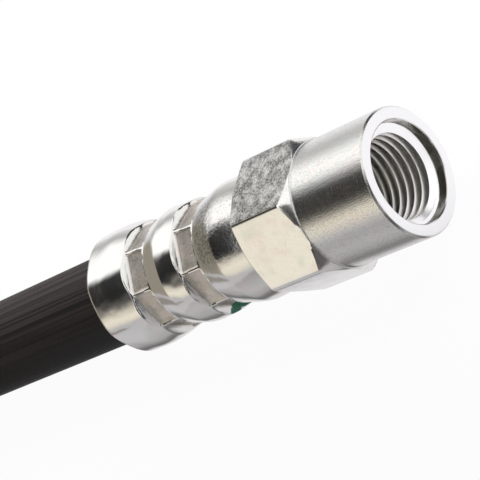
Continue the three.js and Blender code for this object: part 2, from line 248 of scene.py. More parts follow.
class Nodes:
    """Adds nodes to one tree: their settings first, then their sockets' values or links."""

    def __init__(self, tree):
        self.tree = tree
        tree.nodes.clear()

    def add(self, kind, settings=None, values=None, output=0):
        node = self.tree.nodes.new(kind)
        for name, setting in (settings or {}).items():
            if name == "stops":
                self.set_stops(node.color_ramp, setting)
            else:
                setattr(node, name, setting)
        for key, value in (values or {}).items():
            if isinstance(value, Value):
                self.tree.links.new(value.socket, node.inputs[key])
            else:
                node.inputs[key].default_value = value
        return Value(self, node.outputs[output]) if node.outputs else node

    @staticmethod
    def set_stops(ramp, stops):
        while len(ramp.elements) < len(stops):
            ramp.elements.new(1)
        for element, (position, shade) in zip(ramp.elements, stops):
            element.position = position
            element.color = (*shade, 1)

    def vector(self, operation, *values):
        return self.add("ShaderNodeVectorMath", {"operation": operation}, dict(enumerate(values)))

    def scaled(self, vector, scale):
        return self.add("ShaderNodeVectorMath", {"operation": "SCALE"}, {0: vector, "Scale": scale})

    def split(self, vector):
        """X of a vector, whose output method gives Y and Z."""
        return self.add("ShaderNodeSeparateXYZ", {}, {0: vector})

    def join(self, x=0, y=0, z=0):
        return self.add("ShaderNodeCombineXYZ", {}, {0: x, 1: y, 2: z})

    def light_path(self, name):
        return self.add("ShaderNodeLightPath", {}, output=name)

    def mirrored(self):
        """1 on the rays that metal or glass sends on."""
        return self.light_path("Is Glossy Ray").math("MAXIMUM", self.light_path("Is Transmission Ray"))

    def noise(self, place, scale, detail=2):
        return self.add("ShaderNodeTexNoise", {}, {"Vector": place, "Scale": scale, "Detail": detail})

    def mix(self, share, first, second):
        """Colour mix of two colours, or of a colour and a link."""
        node = self.tree.nodes.new("ShaderNodeMix")
        node.data_type = "RGBA"
        chosen = {"Factor_Float": share, "A_Color": first, "B_Color": second}
        for socket in node.inputs:
            value = chosen.get(socket.identifier)
            if isinstance(value, Value):
                self.tree.links.new(value.socket, socket)
            elif value is not None:
                socket.default_value = value if isinstance(value, (int, float)) else (*value, 1)
        found = next(socket for socket in node.outputs if socket.identifier == "Result_Color")
        return Value(self, found)


def empty_material(name):
    material = bpy.data.materials.new(name)
    material.use_nodes = True
    return material, Nodes(material.node_tree)


def finish_material(nodes, shader):
    nodes.add("ShaderNodeOutputMaterial", {}, {"Surface": shader})


def finish_principled(nodes, values):
    finish_material(nodes, nodes.add("ShaderNodeBsdfPrincipled", {}, values))


def in_millimetres(nodes, place):
    """A place in millimetres, whole and split."""
    scaled = nodes.scaled(place, 1 / MM)
    return scaled, nodes.split(scaled)


def own_place(nodes, attribute):
    """A piece's own coordinates in millimetres, whole and split."""
    place = nodes.add("ShaderNodeAttribute", {"attribute_name": attribute}, output="Vector")
    return in_millimetres(nodes, place)


def turn_of(parts):
    """Angle about the X axis, from straight up towards -Y."""
    return (-parts.output("Y")).math("ARCTAN2", parts.output("Z"))


def stretched(nodes, parts, along, around):
    """Coordinates with one scale along the axis and another across it."""
    return nodes.join(parts * along, parts.output("Y") * around, parts.output("Z") * around)


def plated(nodes, finish, place, base):
    """Plate colour, with faint pink and green casts that drift over the surface."""
    warm = nodes.noise(place, 0.45, 3).between(0.5, 0.72)
    cool = nodes.noise(nodes.vector("ADD", place, (31, 17, 5)), 0.5, 3).between(0.5, 0.72)
    warmed = nodes.mix(warm * 0.75, base, finish.zinc_warm)
    return nodes.mix(cool * 0.75, warmed, finish.zinc_cool)


def relief(nodes, height, depth, under=None):
    """Bump of a height between 0 and 1 that is a depth in millimetres."""
    values = {"Height": height * depth, "Distance": MM, "Strength": 1}
    if under:
        values["Normal"] = under
    return nodes.add("ShaderNodeBump", {}, values)


# Soft steps between the finishes of a fitting, in mm: distances from its axis, ...
SOCKET_RADIUS = (4.9, 5.05)
MOUTH_RADIUS = (5.5, 5.55)
RIM_START = (5.2, 5.3)
RIM_END = (6.6, 6.65)
FLAT_RADIUS = (6.9, 6.98)
# ... heights above or below it, ...
DULL_FLAT_HEIGHT = (6.9, 6.96)
# the socket's upper turns, which get painted shade
SHADED_UPPER_TURNS = (-1, 3.5)
# ... and places along it.
# the painted shade in the socket fades out between these places, towards the mouth
SOCKET_SHADE_FADES = (33, 37.5)
SOCKET_OPENS = (39.5, 40.6)
CONE_START = (40.2, 40.3)
CONE_END = (40.85, 40.95)
END_FACE = (41.93, 41.97)

# A coarse, greyed patch on a ferrule: steps along its axis in mm, and round it in radians.
COARSE_START = (16.4, 17.6)
GREYED_END = (19.6, 21)
PATCH_TURN = 0.35
PATCH_REACH = (0.35, 0.8)

# The dab of paint: its middle in the scene in m, and the soft step of its edge in mm.
PAINT_PLACE = (-0.0059, -0.0050, 0.0028)
PAINT_REACH = (1.85, 2)

# Painted sheen: the bloom grows heavier up to this height on the rubber's top
SHEEN_RISE = (0, 5.2)  # height above the hose's middle line, in mm


def turned_zinc(finish):
    """Zinc on turned steel: fine tool rings, dull drawn flats above and below, and painted shade in the bore
    that is lighter on its first turns.
    """
    material, nodes = empty_material("turned_zinc")
    place, parts = own_place(nodes, "end_place")
    height = parts.output("Z")
    across = nodes.vector("LENGTH", stretched(nodes, parts, 0, 1)).output("Value")
    rings = nodes.noise(stretched(nodes, parts, 9, 0.9), 1, 2)
    grain = nodes.noise(place, 9, 2)
    mottle = nodes.noise(place, 5.5, 4)
    blotch = nodes.noise(place, 0.9, 3)

    dull = height.math("ABSOLUTE").between(*DULL_FLAT_HEIGHT)
    deep = (1 - across.between(*SOCKET_RADIUS)) * (1 - parts.between(*SOCKET_OPENS))
    faced = parts.between(*END_FACE) * across.between(*RIM_START) * (1 - across.between(*RIM_END))
    flats = across.between(*FLAT_RADIUS) * (1 - faced)
    mouth = parts.between(*CONE_START) * (1 - across.between(*MOUTH_RADIUS))
    mouth_wall = parts.between(*CONE_END)

    specks = grain.between(0.5, 0.7) * 0.35
    few_specks = grain.between(0.52, 0.7) * 0.1
    turned = nodes.mix(specks, plated(nodes, finish, place, finish.zinc), finish.zinc_grey)
    drawn = nodes.mix(few_specks, plated(nodes, finish, place, finish.zinc_flat), finish.zinc_grey)
    light = mottle.between(0.4, 0.6) * 0.55 + blotch.between(0.4, 0.65) * 0.5
    # Painted shade: dark smears on the wall inside the mouth, broken up by noise.
    smeared_shade = nodes.noise(place, 0.5, 2).between(0.42, 0.52) * 0.85
    # Painted light and shade in the bore: lighter towards the mouth, darker deep in and on the upper turns.
    lit_turns = parts.between(*SOCKET_SHADE_FADES) * (1 - height.between(*SHADED_UPPER_TURNS) * 0.6)
    shade = nodes.mix(flats, turned, drawn)
    shade = nodes.mix(dull, shade, nodes.mix(light, finish.zinc_grey, finish.zinc))
    shade = nodes.mix(mouth * (1 - mouth_wall), shade, finish.zinc_faced)
    shade = nodes.mix(mouth * mouth_wall * smeared_shade, shade, finish.zinc_shade_and_wear)
    shade = nodes.mix(faced, shade, finish.zinc_faced)
    shade = nodes.mix(deep, shade, nodes.mix(lit_turns, finish.zinc_shade_and_wear, finish.zinc_lit_turns))

    smooth = 1 - flats * 0.7 - deep * 0.7 - mouth * (1 - deep) * 0.8
    fine = relief(nodes, (rings + grain * 1.5) * smooth, 0.012)
    wavy = relief(nodes, blotch * flats, 0.02, fine)
    finish_principled(nodes, {
        "Base Color": shade,
        "Metallic": 1,
        "Roughness": 0.17 + grain * 0.08 + dull * 0.18 + faced * 0.1 + deep * 0.1,
        "Normal": relief(nodes, mottle * dull, 0.09, wavy),
    })
    return material


def crimped_zinc(finish):
    """Zinc on pressed steel: smooth, coarser next to the hexagon, with a dab of paint on one ferrule."""
    material, nodes = empty_material("crimped_zinc")
    place, parts = own_place(nodes, "end_place")
    grain = nodes.noise(place, 6, 2)
    pits = nodes.noise(place, 3.6, 3)
    dents = nodes.noise(place, 0.55, 1)

    face = nodes.add("ShaderNodeAttribute", {"attribute_name": "jaw_face"}, output="Fac")
    patch = 1 - (turn_of(parts) - PATCH_TURN).math("ABSOLUTE").between(*PATCH_REACH)
    coarse = parts.between(*COARSE_START) * patch
    greyed = coarse * (1 - parts.between(*GREYED_END)) * (pits.between(0.3, 0.7) * 0.5 + 0.25)
    spots = greyed.math("MAXIMUM", coarse * pits.between(0.5, 0.66) * 0.3)
    dulled = face * (1 - nodes.noise(place, 0.8, 3).between(0.5, 0.7) * 0.6)
    worn = nodes.noise(place, 0.55, 4).between(0.45, 0.62) * 0.6
    place_in_scene = nodes.add("ShaderNodeTexCoord", {}, output="Object")
    to_dab = nodes.vector("DISTANCE", place_in_scene, PAINT_PLACE).output("Value") / MM
    dab = 1 - (to_dab + nodes.noise(place, 1.6, 3) * 0.8).between(*PAINT_REACH)

    pressed = nodes.mix(worn, finish.zinc_pressed, finish.zinc_shade_and_wear)
    shade = nodes.mix(dulled, plated(nodes, finish, place, finish.zinc), pressed)
    shade = nodes.mix(spots, shade, finish.zinc_grey)
    soft = relief(nodes, dents, 0.05)
    fine = relief(nodes, grain, 0.0015 + face * 0.008, soft)
    finish_principled(nodes, {
        "Base Color": nodes.mix(dab, shade, finish.paint),
        "Metallic": 1 - dab,
        "Roughness": 0.1 + grain * 0.05 + face * 0.34 + coarse * 0.05 + dab * 0.3,
        "Normal": relief(nodes, pits * (coarse * 0.5 + face * 0.9), 0.04, fine),
    })
    return material


def hose_rubber(finish):
    """Black rubber with lengthwise streaks and a thin brown-grey bloom, laid on heavier on top as painted
    sheen.
    """
    material, nodes = empty_material("hose_rubber")
    _, parts = own_place(nodes, "hose_place")
    streaks = nodes.noise(stretched(nodes, parts, 0.02, 1.6), 1, 3)
    specks = nodes.noise(stretched(nodes, parts, 1.2, 5), 1, 3)
    # Painted sheen: more bloom on the top, where the light falls.
    lit_top = parts.output("Z").between(*SHEEN_RISE)
    bloom = streaks.between(0.35, 0.7) * (0.25 + lit_top * 0.55) + specks.between(0.55, 0.8) * 0.15
    furrows = relief(nodes, streaks, 0.06)
    finish_principled(nodes, {
        "Base Color": nodes.mix(bloom, finish.rubber, finish.rubber_bloom_and_sheen),
        "Roughness": 0.5 + streaks * 0.3,
        "Normal": relief(nodes, specks, 0.01, furrows),
        "Specular IOR Level": 0.3,
    })
    return material


def rings_round(places, radii, angles):
    """Rings of points round the X axis. A place or radius is a number, or one for each angle."""
    rings = []
    for place, radius in zip(places, radii):
        ring = np.empty((len(angles), 3))
        ring[:, 0] = place
        ring[:, 1] = -radius * np.sin(angles)
        ring[:, 2] = radius * np.cos(angles)
        rings.append(ring)
    return rings


def turned_rings(profile, angles):
    """Rings of a turned shape, one for each (place, radius) of its profile."""
    return rings_round([point[0] for point in profile], [point[1] for point in profile], angles)


def closed_shell(name, rings):
    """Mesh object of rings that are joined each to the next and the last to the first."""
    points = np.concatenate(rings)
    count = len(rings[0])
    ring = np.arange(len(rings))[:, None] * count
    next_ring = np.roll(ring, -1, axis=0)
    column = np.arange(count)[None, :]
    next_column = np.roll(column, -1, axis=1)
    corners = (ring + column, ring + next_column, next_ring + next_column, next_ring + column)
    faces = np.stack(corners, axis=-1).reshape(-1, 4)
    mesh = bpy.data.meshes.new(name)
    mesh.from_pydata(points.tolist(), [], faces.tolist())
    mesh.shade_smooth()
    piece = bpy.data.objects.new(name, mesh)
    bpy.context.scene.collection.objects.link(piece)
    return piece


def keep_result(piece):
    """Makes what the piece's modifiers show its plain mesh."""
    graph = bpy.context.evaluated_depsgraph_get()
    mesh = bpy.data.meshes.new_from_object(piece.evaluated_get(graph), depsgraph=graph)
    piece.modifiers.clear()
    old = piece.data
    piece.data = mesh
    bpy.data.meshes.remove(old)


def rounded(corners, steps=4):
    """Points of an open profile of (place, radius, rounding) corners, each rounding an arc."""
    points = []
    for index, (place, radius, rounding) in enumerate(corners):
        here = Vector((place, radius))
        if not rounding:
            points.append(here)
            continue
        before = (Vector(corners[index - 1][:2]) - here).normalized()
        after = (Vector(corners[index + 1][:2]) - here).normalized()
        half = before.angle(after) / 2
        centre = here + (before + after).normalized() * rounding / math.sin(half)
        reach = rounding / math.tan(half)
        first = (here + before * reach - centre).normalized()
        last = (here + after * reach - centre).normalized()
        points += [centre + first.slerp(last, step / steps) * rounding for step in range(steps + 1)]
    return points


def set_attribute(piece, name, values):
    attribute = piece.data.attributes.new(name, "FLOAT_VECTOR", "POINT")
    attribute.data.foreach_set("vector", np.ascontiguousarray(values, dtype=np.float32).ravel())


def points_of(piece):
    points = np.empty(len(piece.data.vertices) * 3, dtype=np.float32)
    piece.data.vertices.foreach_get("co", points)
    return points.reshape(-1, 3)


def put_on_end(piece, end, material, node):
    """Gives a finished piece its material, its own coordinates and its place on an end of the hose."""
    set_attribute(piece, "end_place", points_of(piece))
    piece.data.materials.clear()
    piece.data.materials.append(material)
    piece.data.transform(end)
    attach(piece, "root")
    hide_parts(node)


def near_end():
    """Place of the near end: its axis at the ferrule's lip, with the threaded mouth towards +X."""
    middle = (near_ferrule_low + near_ferrule_high) / 2
    return Matrix.Translation((near_ferrule_low.x, middle.y, middle.z))


def far_end():
    """Place of the far end, which points the other way."""
    middle = (far_ferrule_low + far_ferrule_high) / 2
    return Matrix.Translation((far_ferrule_high.x, middle.y, middle.z)) @ Matrix.Rotation(math.pi, 4, "Z")


FERRULE_LENGTH = near_ferrule_high.x - near_ferrule_low.x
FERRULE_RADIUS = (near_ferrule_high.z - near_ferrule_low.z) / 2
NOSE_FACE = near_fitting_high.x - near_ferrule_low.x


def new_tree(name, inputs):
    """Geometry tree with a geometry going through and inputs of these names and defaults."""
    tree = bpy.data.node_groups.new(name, "GeometryNodeTree")
    tree.interface.new_socket(name="Geometry", in_out="INPUT", socket_type="NodeSocketGeometry")
    for label, default in inputs.items():
        kind = "NodeSocketInt" if isinstance(default, int) else "NodeSocketFloat"
        tree.interface.new_socket(name=label, in_out="INPUT", socket_type=kind).default_value = default
    tree.interface.new_socket(name="Material", in_out="INPUT", socket_type="NodeSocketMaterial")
    tree.interface.new_socket(name="Geometry", in_out="OUTPUT", socket_type="NodeSocketGeometry")
    nodes = Nodes(tree)
    return tree, nodes, nodes.add("NodeGroupInput")


def end_tree(nodes, given, geometry):
    """Closes a tree with real geometry that has the material."""
    real = nodes.add("GeometryNodeRealizeInstances", {}, {"Geometry": geometry})
    painted = nodes.add("GeometryNodeSetMaterial", {}, {"Geometry": real, "Material": given.output("Material")})
    nodes.add("NodeGroupOutput", {}, {"Geometry": painted})


def run_tree(piece, tree, values):
    """Runs a geometry tree on a piece and keeps the result as its mesh."""
    modifier = piece.modifiers.new(tree.name, "NODES")
    modifier.node_group = tree
    for item in tree.interface.items_tree:
        if item.in_out == "INPUT" and item.name in values:
            modifier[item.identifier] = values[item.name]
    keep_result(piece)


def rib_tree():
    """Presses fine ribs of uneven depth into a smooth tube, along its whole length."""
    tree, nodes, given = new_tree("hose_ribs", {"Ribs": 72, "Depth": 0.05 * MM})
    place = nodes.add("GeometryNodeInputNamedAttribute", {"data_type": "FLOAT_VECTOR"}, {"Name": "hose_place"})
    parts = nodes.split(place)
    turn = parts.output("Y").math("ARCTAN2", parts.output("Z"))
    wave = (turn * given.output("Ribs")).math("SINE") * 0.5 + 0.5
    uneven = nodes.noise(nodes.join(turn.math("SINE"), turn.math("COSINE")), 7, 1)
    depth = given.output("Depth") * wave * uneven.between(0.3, 0.65)
    inward = nodes.scaled(nodes.add("GeometryNodeInputNormal"), -depth)
    outer = nodes.add("GeometryNodeInputNamedAttribute", {"data_type": "FLOAT"}, {"Name": "ribbed"})
    pressed = nodes.add(
        "GeometryNodeSetPosition",
        {},
        {"Geometry": given, "Selection": outer.math("GREATER_THAN", 0.5), "Offset": inward},
    )
    end_tree(nodes, given, pressed)
    return tree


# A ferrule's first bulge swells as far as the first groove's middle, and its middle one from these
# distances short of the second groove's middle up to that.
SWELL_FADE = 0.5 * MM
MIDDLE_SWELL_START = 4.2 * MM
MIDDLE_SWELL_FULL = 2.6 * MM
JAW_FACE_EDGE = (0.02 * MM, 0.2 * MM)  # height of the pressed wall at which a jaw's face ends


def crimp_tree():
    """Presses two rows of flat jaw marks into a turned sleeve that lies along the X axis."""
    tree, nodes, given = new_tree("crimp", {
        "Jaws": 8, "Turn": 0.0, "First groove": 0.0, "Spacing": 0.0, "Half length": 0.0, "Half width": 0.0,
        "Floor": 0.0, "Slope": 1.0, "Side slope": 1.0, "Softness": 0.0, "Swell": 0.0,
    })
    parts = nodes.split(nodes.add("GeometryNodeInputPosition"))
    across = nodes.join(0, parts.output("Y"), parts.output("Z"))
    radius = nodes.vector("LENGTH", across).output("Value")
    half_sector = math.pi / given.output("Jaws")
    phase = (turn_of(parts) - given.output("Turn")).math("WRAP", half_sector, -half_sector)
    first = given.output("First groove")
    to_first = (parts - first).math("ABSOLUTE")
    to_second = (parts - first - given.output("Spacing")).math("ABSOLUTE")
    along = to_first.math("MINIMUM", to_second)
    past_end = (along - given.output("Half length")).math("MAXIMUM", 0)
    sideways = given.output("Floor") * phase.math("ABSOLUTE").math("TANGENT")
    past_side = (sideways - given.output("Half width")).math("MAXIMUM", 0)
    wall = past_end * given.output("Slope") + past_side * given.output("Side slope")
    pressed_radius = (given.output("Floor") + wall) / phase.math("COSINE")
    second = first + given.output("Spacing")
    lip_part = 1 - parts.between(first - SWELL_FADE, first + SWELL_FADE)
    middle_start = parts.between(second - MIDDLE_SWELL_START, second - MIDDLE_SWELL_FULL)
    middle_part = middle_start * (1 - parts.between(second, second + 2 * SWELL_FADE))
    swell = given.output("Swell") * (lip_part + middle_part) * (phase * given.output("Jaws")).math("COSINE")
    new_radius = (radius + swell).math("SMOOTH_MIN", pressed_radius, given.output("Softness"))
    ratio = new_radius / radius
    moved = nodes.join(parts, parts.output("Y") * ratio, parts.output("Z") * ratio)
    pressed = nodes.add("GeometryNodeSetPosition", {}, {"Geometry": given, "Position": moved})
    face = 1 - wall.between(*JAW_FACE_EDGE)
    marked = nodes.add(
        "GeometryNodeStoreNamedAttribute", {}, {"Geometry": pressed, "Name": "jaw_face", "Value": face}
    )
    end_tree(nodes, given, marked)
    return tree


def thread_tree():
    """Cutter for a right-hand thread about the X axis: a tooth that winds out from its start."""
    tree, nodes, given = new_tree("thread_cutter", {
        "Start": 0.0, "Turns": 10.0, "Steps": 900, "Pitch": MM, "Tip radius": 5 * MM, "Tip width": 0.1 * MM,
        "Base radius": 4 * MM, "Base width": 0.8 * MM, "Fade": 0.0,
    })
    line = nodes.add("GeometryNodeMeshLine", {}, {"Count": given.output("Steps")})
    curve = nodes.add("GeometryNodeMeshToCurve", {}, {"Mesh": line})
    share = nodes.add("GeometryNodeSplineParameter", {}, output="Factor")
    turn = share * given.output("Turns")
    angle = turn * (2 * math.pi)
    first_turn = (1 - turn).math("MAXIMUM", 0)
    radius = given.output("Tip radius") - first_turn * given.output("Fade")
    climb = given.output("Start") + turn * given.output("Pitch")
    helix = nodes.join(radius * angle.math("COSINE"), radius * angle.math("SINE"), climb)
    bent = nodes.add("GeometryNodeSetPosition", {}, {"Geometry": curve, "Position": helix})
    upright = nodes.add("GeometryNodeSetCurveNormal", {"mode": "Z_UP"}, {"Curve": bent})
    base_offset = given.output("Base radius") - given.output("Tip radius")
    side = base_offset.math("SIGN")
    tip_half = given.output("Tip width") * side * 0.5
    base_half = given.output("Base width") * side * 0.5
    corners = {
        "Point 1": nodes.join(0, tip_half),
        "Point 2": nodes.join(0, -tip_half),
        "Point 3": nodes.join(base_offset, -base_half),
        "Point 4": nodes.join(base_offset, base_half),
    }
    tooth = nodes.add("GeometryNodeCurvePrimitiveQuadrilateral", {"mode": "POINTS"}, corners)
    swept = nodes.add(
        "GeometryNodeCurveToMesh", {}, {"Curve": upright, "Profile Curve": tooth, "Fill Caps": True}
    )
    laid = nodes.add("GeometryNodeTransform", {}, {"Geometry": swept, "Rotation": (0, math.pi / 2, 0)})
    end_tree(nodes, given, laid)
    return tree


ROUTE_STEPS = 12  # points made between two points of the route
COLUMNS_PER_RIB = 4


def catmull_rom(points, steps):
    """Points of the uniform Catmull-Rom curve through points, with its ends carried on straight."""
    points = [Vector(point) for point in points]
    points = [2 * points[0] - points[1], *points, 2 * points[-1] - points[-2]]
    made = []
    for a, b, c, d in zip(points, points[1:], points[2:], points[3:]):
        for step in range(steps):
            t = step / steps
            square, cube = 2 * a - 5 * b + 4 * c - d, 3 * b - a - 3 * c + d
            made.append(0.5 * (2 * b + (c - a) * t + square * t**2 + cube * t**3))
    made.append(points[-2])
    return made


def evenly(points, spacing):
    """The same line with points about a spacing apart, ends kept."""
    line = np.array([tuple(point) for point in points])
    reached = np.concatenate([[0], np.cumsum(np.linalg.norm(np.diff(line, axis=0), axis=1))])
    places = np.linspace(0, reached[-1], round(reached[-1] / spacing) + 1)
    return np.stack([np.interp(places, reached, line[:, axis]) for axis in range(3)], axis=1), places


def grip_profile(sizes):
    """Inside of a ferrule from its lip to its turned-in end, as (place, radius) pairs."""
    open_radius = FERRULE_RADIUS - sizes.wall
    pinched = FERRULE_RADIUS - sizes.mark_drop - sizes.mark_wall
    half = sizes.pinch_length / 2
    profile = [(0, open_radius)]
    for groove in (sizes.groove_start, sizes.groove_start + sizes.groove_spacing):
        profile.append((groove - half - sizes.pinch_slope, open_radius))
        profile.append((groove - half, pinched))
        profile.append((groove + half, pinched))
        profile.append((groove + half + sizes.pinch_slope, open_radius))
    profile.append((FERRULE_LENGTH - sizes.flange_wall, open_radius))
    return profile


def bored_shell(name, line, reached, rubber, fitting, ferrule):
    """Tube with a bore along a line, squeezed inside the ferrules and widened over the hose tails."""
    whole = reached[-1]
    lip = line[0][0] - ROUTE[0][0]
    from_lip = lip - np.minimum(reached, whole - reached)
    grip = np.array(grip_profile(ferrule))
    squeeze = np.interp(from_lip, grip[:, 0], grip[:, 1] - ferrule.clearance)
    outer = np.where(from_lip > 0, np.minimum(rubber.diameter / 2, squeeze), rubber.diameter / 2)
    tail = fitting.tail_diameter / 2 + fitting.tail_barb + ferrule.clearance
    inner = np.where(from_lip > fitting.tail_stop - ferrule.clearance, tail, rubber.bore / 2)
    columns = rubber.rib_count * COLUMNS_PER_RIB
    angles = np.arange(columns) * 2 * math.pi / columns
    forward = np.gradient(line, axis=0)
    forward /= np.linalg.norm(forward, axis=1)[:, None]
    side = np.cross(forward, (0, 0, 1))
    side /= np.linalg.norm(side, axis=1)[:, None]
    above = np.cross(side, forward)
    rings, places, ribbed = [], [], []
    order = [(index, outer, 1) for index in range(len(line))]
    order += [(index, inner, 0) for index in reversed(range(len(line)))]
    for index, radii, is_outer in order:
        sideways, upward = np.sin(angles) * radii[index], np.cos(angles) * radii[index]
        rings.append(line[index] + sideways[:, None] * side[index] + upward[:, None] * above[index])
        places.append(np.stack([np.full(columns, reached[index]), sideways, upward], axis=1))
        ribbed.append(np.full(columns, is_outer))
    piece = closed_shell(name, rings)
    set_attribute(piece, "hose_place", np.concatenate(places))
    marks = piece.data.attributes.new("ribbed", "FLOAT", "POINT")
    marks.data.foreach_set("value", np.concatenate(ribbed).astype(np.float32))
    return piece


class BRAKE_HOSE_OT_hose(bpy.types.Operator):
    """Make the ribbed rubber hose along its route"""

    bl_idname = "brake_hose.hose"
    bl_label = "Hose"

    def execute(self, context):
        rubber, fitting, ferrule, finish = sizes_of(context)
        start = (hose_high.x, ROUTE[0][1], ROUTE[0][2])
        end = (hose_low.x, ROUTE[-1][1], ROUTE[-1][2])
        line, reached = evenly(catmull_rom([start, *ROUTE, end], ROUTE_STEPS), rubber.ring_spacing)
        piece = bored_shell("rubber_hose", line, reached, rubber, fitting, ferrule)
        material = hose_rubber(finish)
        run_tree(piece, rib_tree(), {"Ribs": rubber.rib_count, "Depth": rubber.rib_depth, "Material": material})
        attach(piece, "root")
        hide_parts("hose")
        return {"FINISHED"}


def half_flat_turn(sizes):
    """Angle from the middle of a flat to where the rounding of its corner starts."""
    apothem = sizes.flats / 2
    return math.atan((apothem - sizes.corner_round) * math.tan(math.pi / 6) / apothem)


def hexagon_angles(sizes, flat_steps=22, corner_steps=4):
    """Angles from the top round the axis, closer together on the hexagon's rounded corners."""
    half_flat = half_flat_turn(sizes)
    angles = []
    for side in range(6):
        middle = side * math.pi / 3
        flat = np.linspace(middle - half_flat, middle + half_flat, flat_steps, endpoint=False)
        corner = np.linspace(middle + half_flat, middle + math.pi / 3 - half_flat, corner_steps, endpoint=False)
        angles += [flat, corner]
    return np.concatenate(angles)


def hexagon_radii(sizes, angles):
    """Distance from the axis to a hexagon with rounded corners, at each angle."""
    apothem = sizes.flats / 2
    from_flat = (angles + math.pi / 6) % (math.pi / 3) - math.pi / 6
    flat = apothem / np.cos(from_flat)
    centre = (apothem - sizes.corner_round) / math.cos(math.pi / 6)
    to_corner = math.pi / 6 - np.abs(from_flat)
    inside = np.maximum(sizes.corner_round**2 - (centre * np.sin(to_corner)) ** 2, 0)
    arc = centre * np.cos(to_corner) + np.sqrt(inside)
    return np.where(np.abs(from_flat) > half_flat_turn(sizes), arc, flat)


def hexagon_rings(sizes, angles, back, front):
    """Rings of the hexagon between its two round faces, with turned corners at both ends."""
    radii = hexagon_radii(sizes, angles)
    face = sizes.flats / 2 - sizes.face_step
    corner_rise = sizes.flats / math.sqrt(3) - face
    soft = np.minimum(sizes.edge_soft, radii - face)
    back_slope = sizes.back_chamfer / corner_rise
    front_slope = sizes.front_chamfer / corner_rise
    places = [
        back,
        back + (radii - soft - face) * back_slope,
        back + (radii - face) * back_slope + sizes.edge_soft,
        front - (radii - face) * front_slope - sizes.edge_soft,
        front - (radii - soft - face) * front_slope,
        front,
    ]
    return rings_round(places, [face, radii - soft, radii, radii, radii - soft, face], angles)


def tail_profile(sizes, ferrule, hex_back, barbs=4):
    """Outside of a fitting from its tail's tip to the hexagon, as (place, radius, rounding) corners."""
    root = sizes.tail_diameter / 2
    neck = sizes.neck_diameter / 2
    collar = neck + sizes.collar_step
    collar_front = hex_back - 2 * ferrule.clearance - ferrule.flange_wall
    collar_back = collar_front - sizes.collar_length
    barb_length = (collar_back - ferrule.clearance - sizes.tail_stop) / barbs
    profile = []
    for barb in range(barbs):
        start = sizes.tail_stop + barb * barb_length
        profile += [(start, root, 0), (start + barb_length, root + sizes.tail_barb, 0)]
    edge = 0.1 * MM
    profile += [(collar_back - ferrule.clearance, root, 0), (collar_back, root, 0)]
    profile += [(collar_back, collar, edge), (collar_front, collar, edge)]
    profile += [(collar_front, neck, edge), (hex_back, neck, 0)]
    return profile


def passage_profile(sizes, hex_back):
    """Bore from the hexagon's back face to the tail's tip, as (place, radius, rounding) corners."""
    cone = 1 * MM
    return [
        (hex_back, sizes.passage / 2, 0),
        (hex_back - cone, sizes.tail_passage / 2, 0),
        (sizes.tail_stop, sizes.tail_passage / 2, 0),
    ]


def fitting_blank(name, sizes, ferrule, front_profile):
    """Fitting without its thread: tail, hexagon and a front part given as a profile."""
    hex_back = FERRULE_LENGTH + ferrule.clearance
    hex_front = hex_back + sizes.hex_length
    angles = hexagon_angles(sizes)
    tail = rounded(tail_profile(sizes, ferrule, hex_back))
    front = rounded([(hex_front, sizes.flats / 2 - sizes.face_step, 0), *front_profile])[1:]
    front += rounded(passage_profile(sizes, hex_back))
    hexagon = hexagon_rings(sizes, angles, hex_back, hex_front)
    return closed_shell(name, turned_rings(tail, angles) + hexagon + turned_rings(front, angles))


STEPS_PER_TURN = 96  # of a thread's cutter
CUT_OVERSHOOT = 0.08 * MM  # the cutter runs on this far past the crests
SHARP_FITTING_EDGE = math.radians(28)


def thread_shape(sizes):
    """Radii of an internal crest and an external root, and the tangent of a flank's half angle."""
    height = sizes.thread_pitch * math.sqrt(3) / 2
    radius = sizes.thread_diameter / 2
    return radius - height * 5 / 8, radius - height * 17 / 24, math.tan(math.pi / 6)


def female_profile(sizes, hex_front):
    """Round nose, plain mouth, socket and pipe seat, as (place, radius, rounding) corners."""
    crest, _, _ = thread_shape(sizes)
    mouth = sizes.thread_diameter / 2 + sizes.mouth_widening
    nose = mouth + sizes.nose_wall
    small = 0.04 * MM
    seat = (crest - sizes.passage / 2) / math.tan(math.pi / 3)
    return [
        (hex_front, nose, 3 * small),
        (NOSE_FACE - sizes.nose_edge, nose, 2 * small),
        (NOSE_FACE, nose - sizes.nose_edge, 2 * small),
        (NOSE_FACE, mouth + sizes.mouth_edge, small),
        (NOSE_FACE - sizes.mouth_edge, mouth, small),
        (NOSE_FACE - sizes.mouth_depth, mouth, 2 * small),
        (NOSE_FACE - sizes.mouth_depth - sizes.mouth_cone, crest, small),
        (NOSE_FACE - sizes.socket_depth, crest, 0),
        (NOSE_FACE - sizes.socket_depth - seat, sizes.passage / 2, 0),
    ]


def male_profile(sizes, hex_front):
    """Relief groove, shank and pilot, as (place, radius, rounding) corners."""
    _, root, _ = thread_shape(sizes)
    crest = sizes.thread_diameter / 2
    relief_radius = root - sizes.relief_depth
    pilot = sizes.pilot_diameter / 2
    start = hex_front + sizes.relief_length
    end = start + sizes.shank_length
    tip = end + sizes.pilot_length
    small = 0.05 * MM
    return [
        (hex_front, relief_radius, 5 * small),
        (start, relief_radius, 0),
        (start, root, 0),
        (start + crest - root, crest, 0),
        (end - crest + root, crest, 0),
        (end, root, small),
        (end, pilot, 3 * small),
        (tip - sizes.pilot_edge, pilot, 2 * small),
        (tip, pilot - sizes.pilot_edge, 2 * small),
        (tip, sizes.passage / 2 + 2 * small, 0),
        (tip - 2 * small, sizes.passage / 2, 0),
    ]


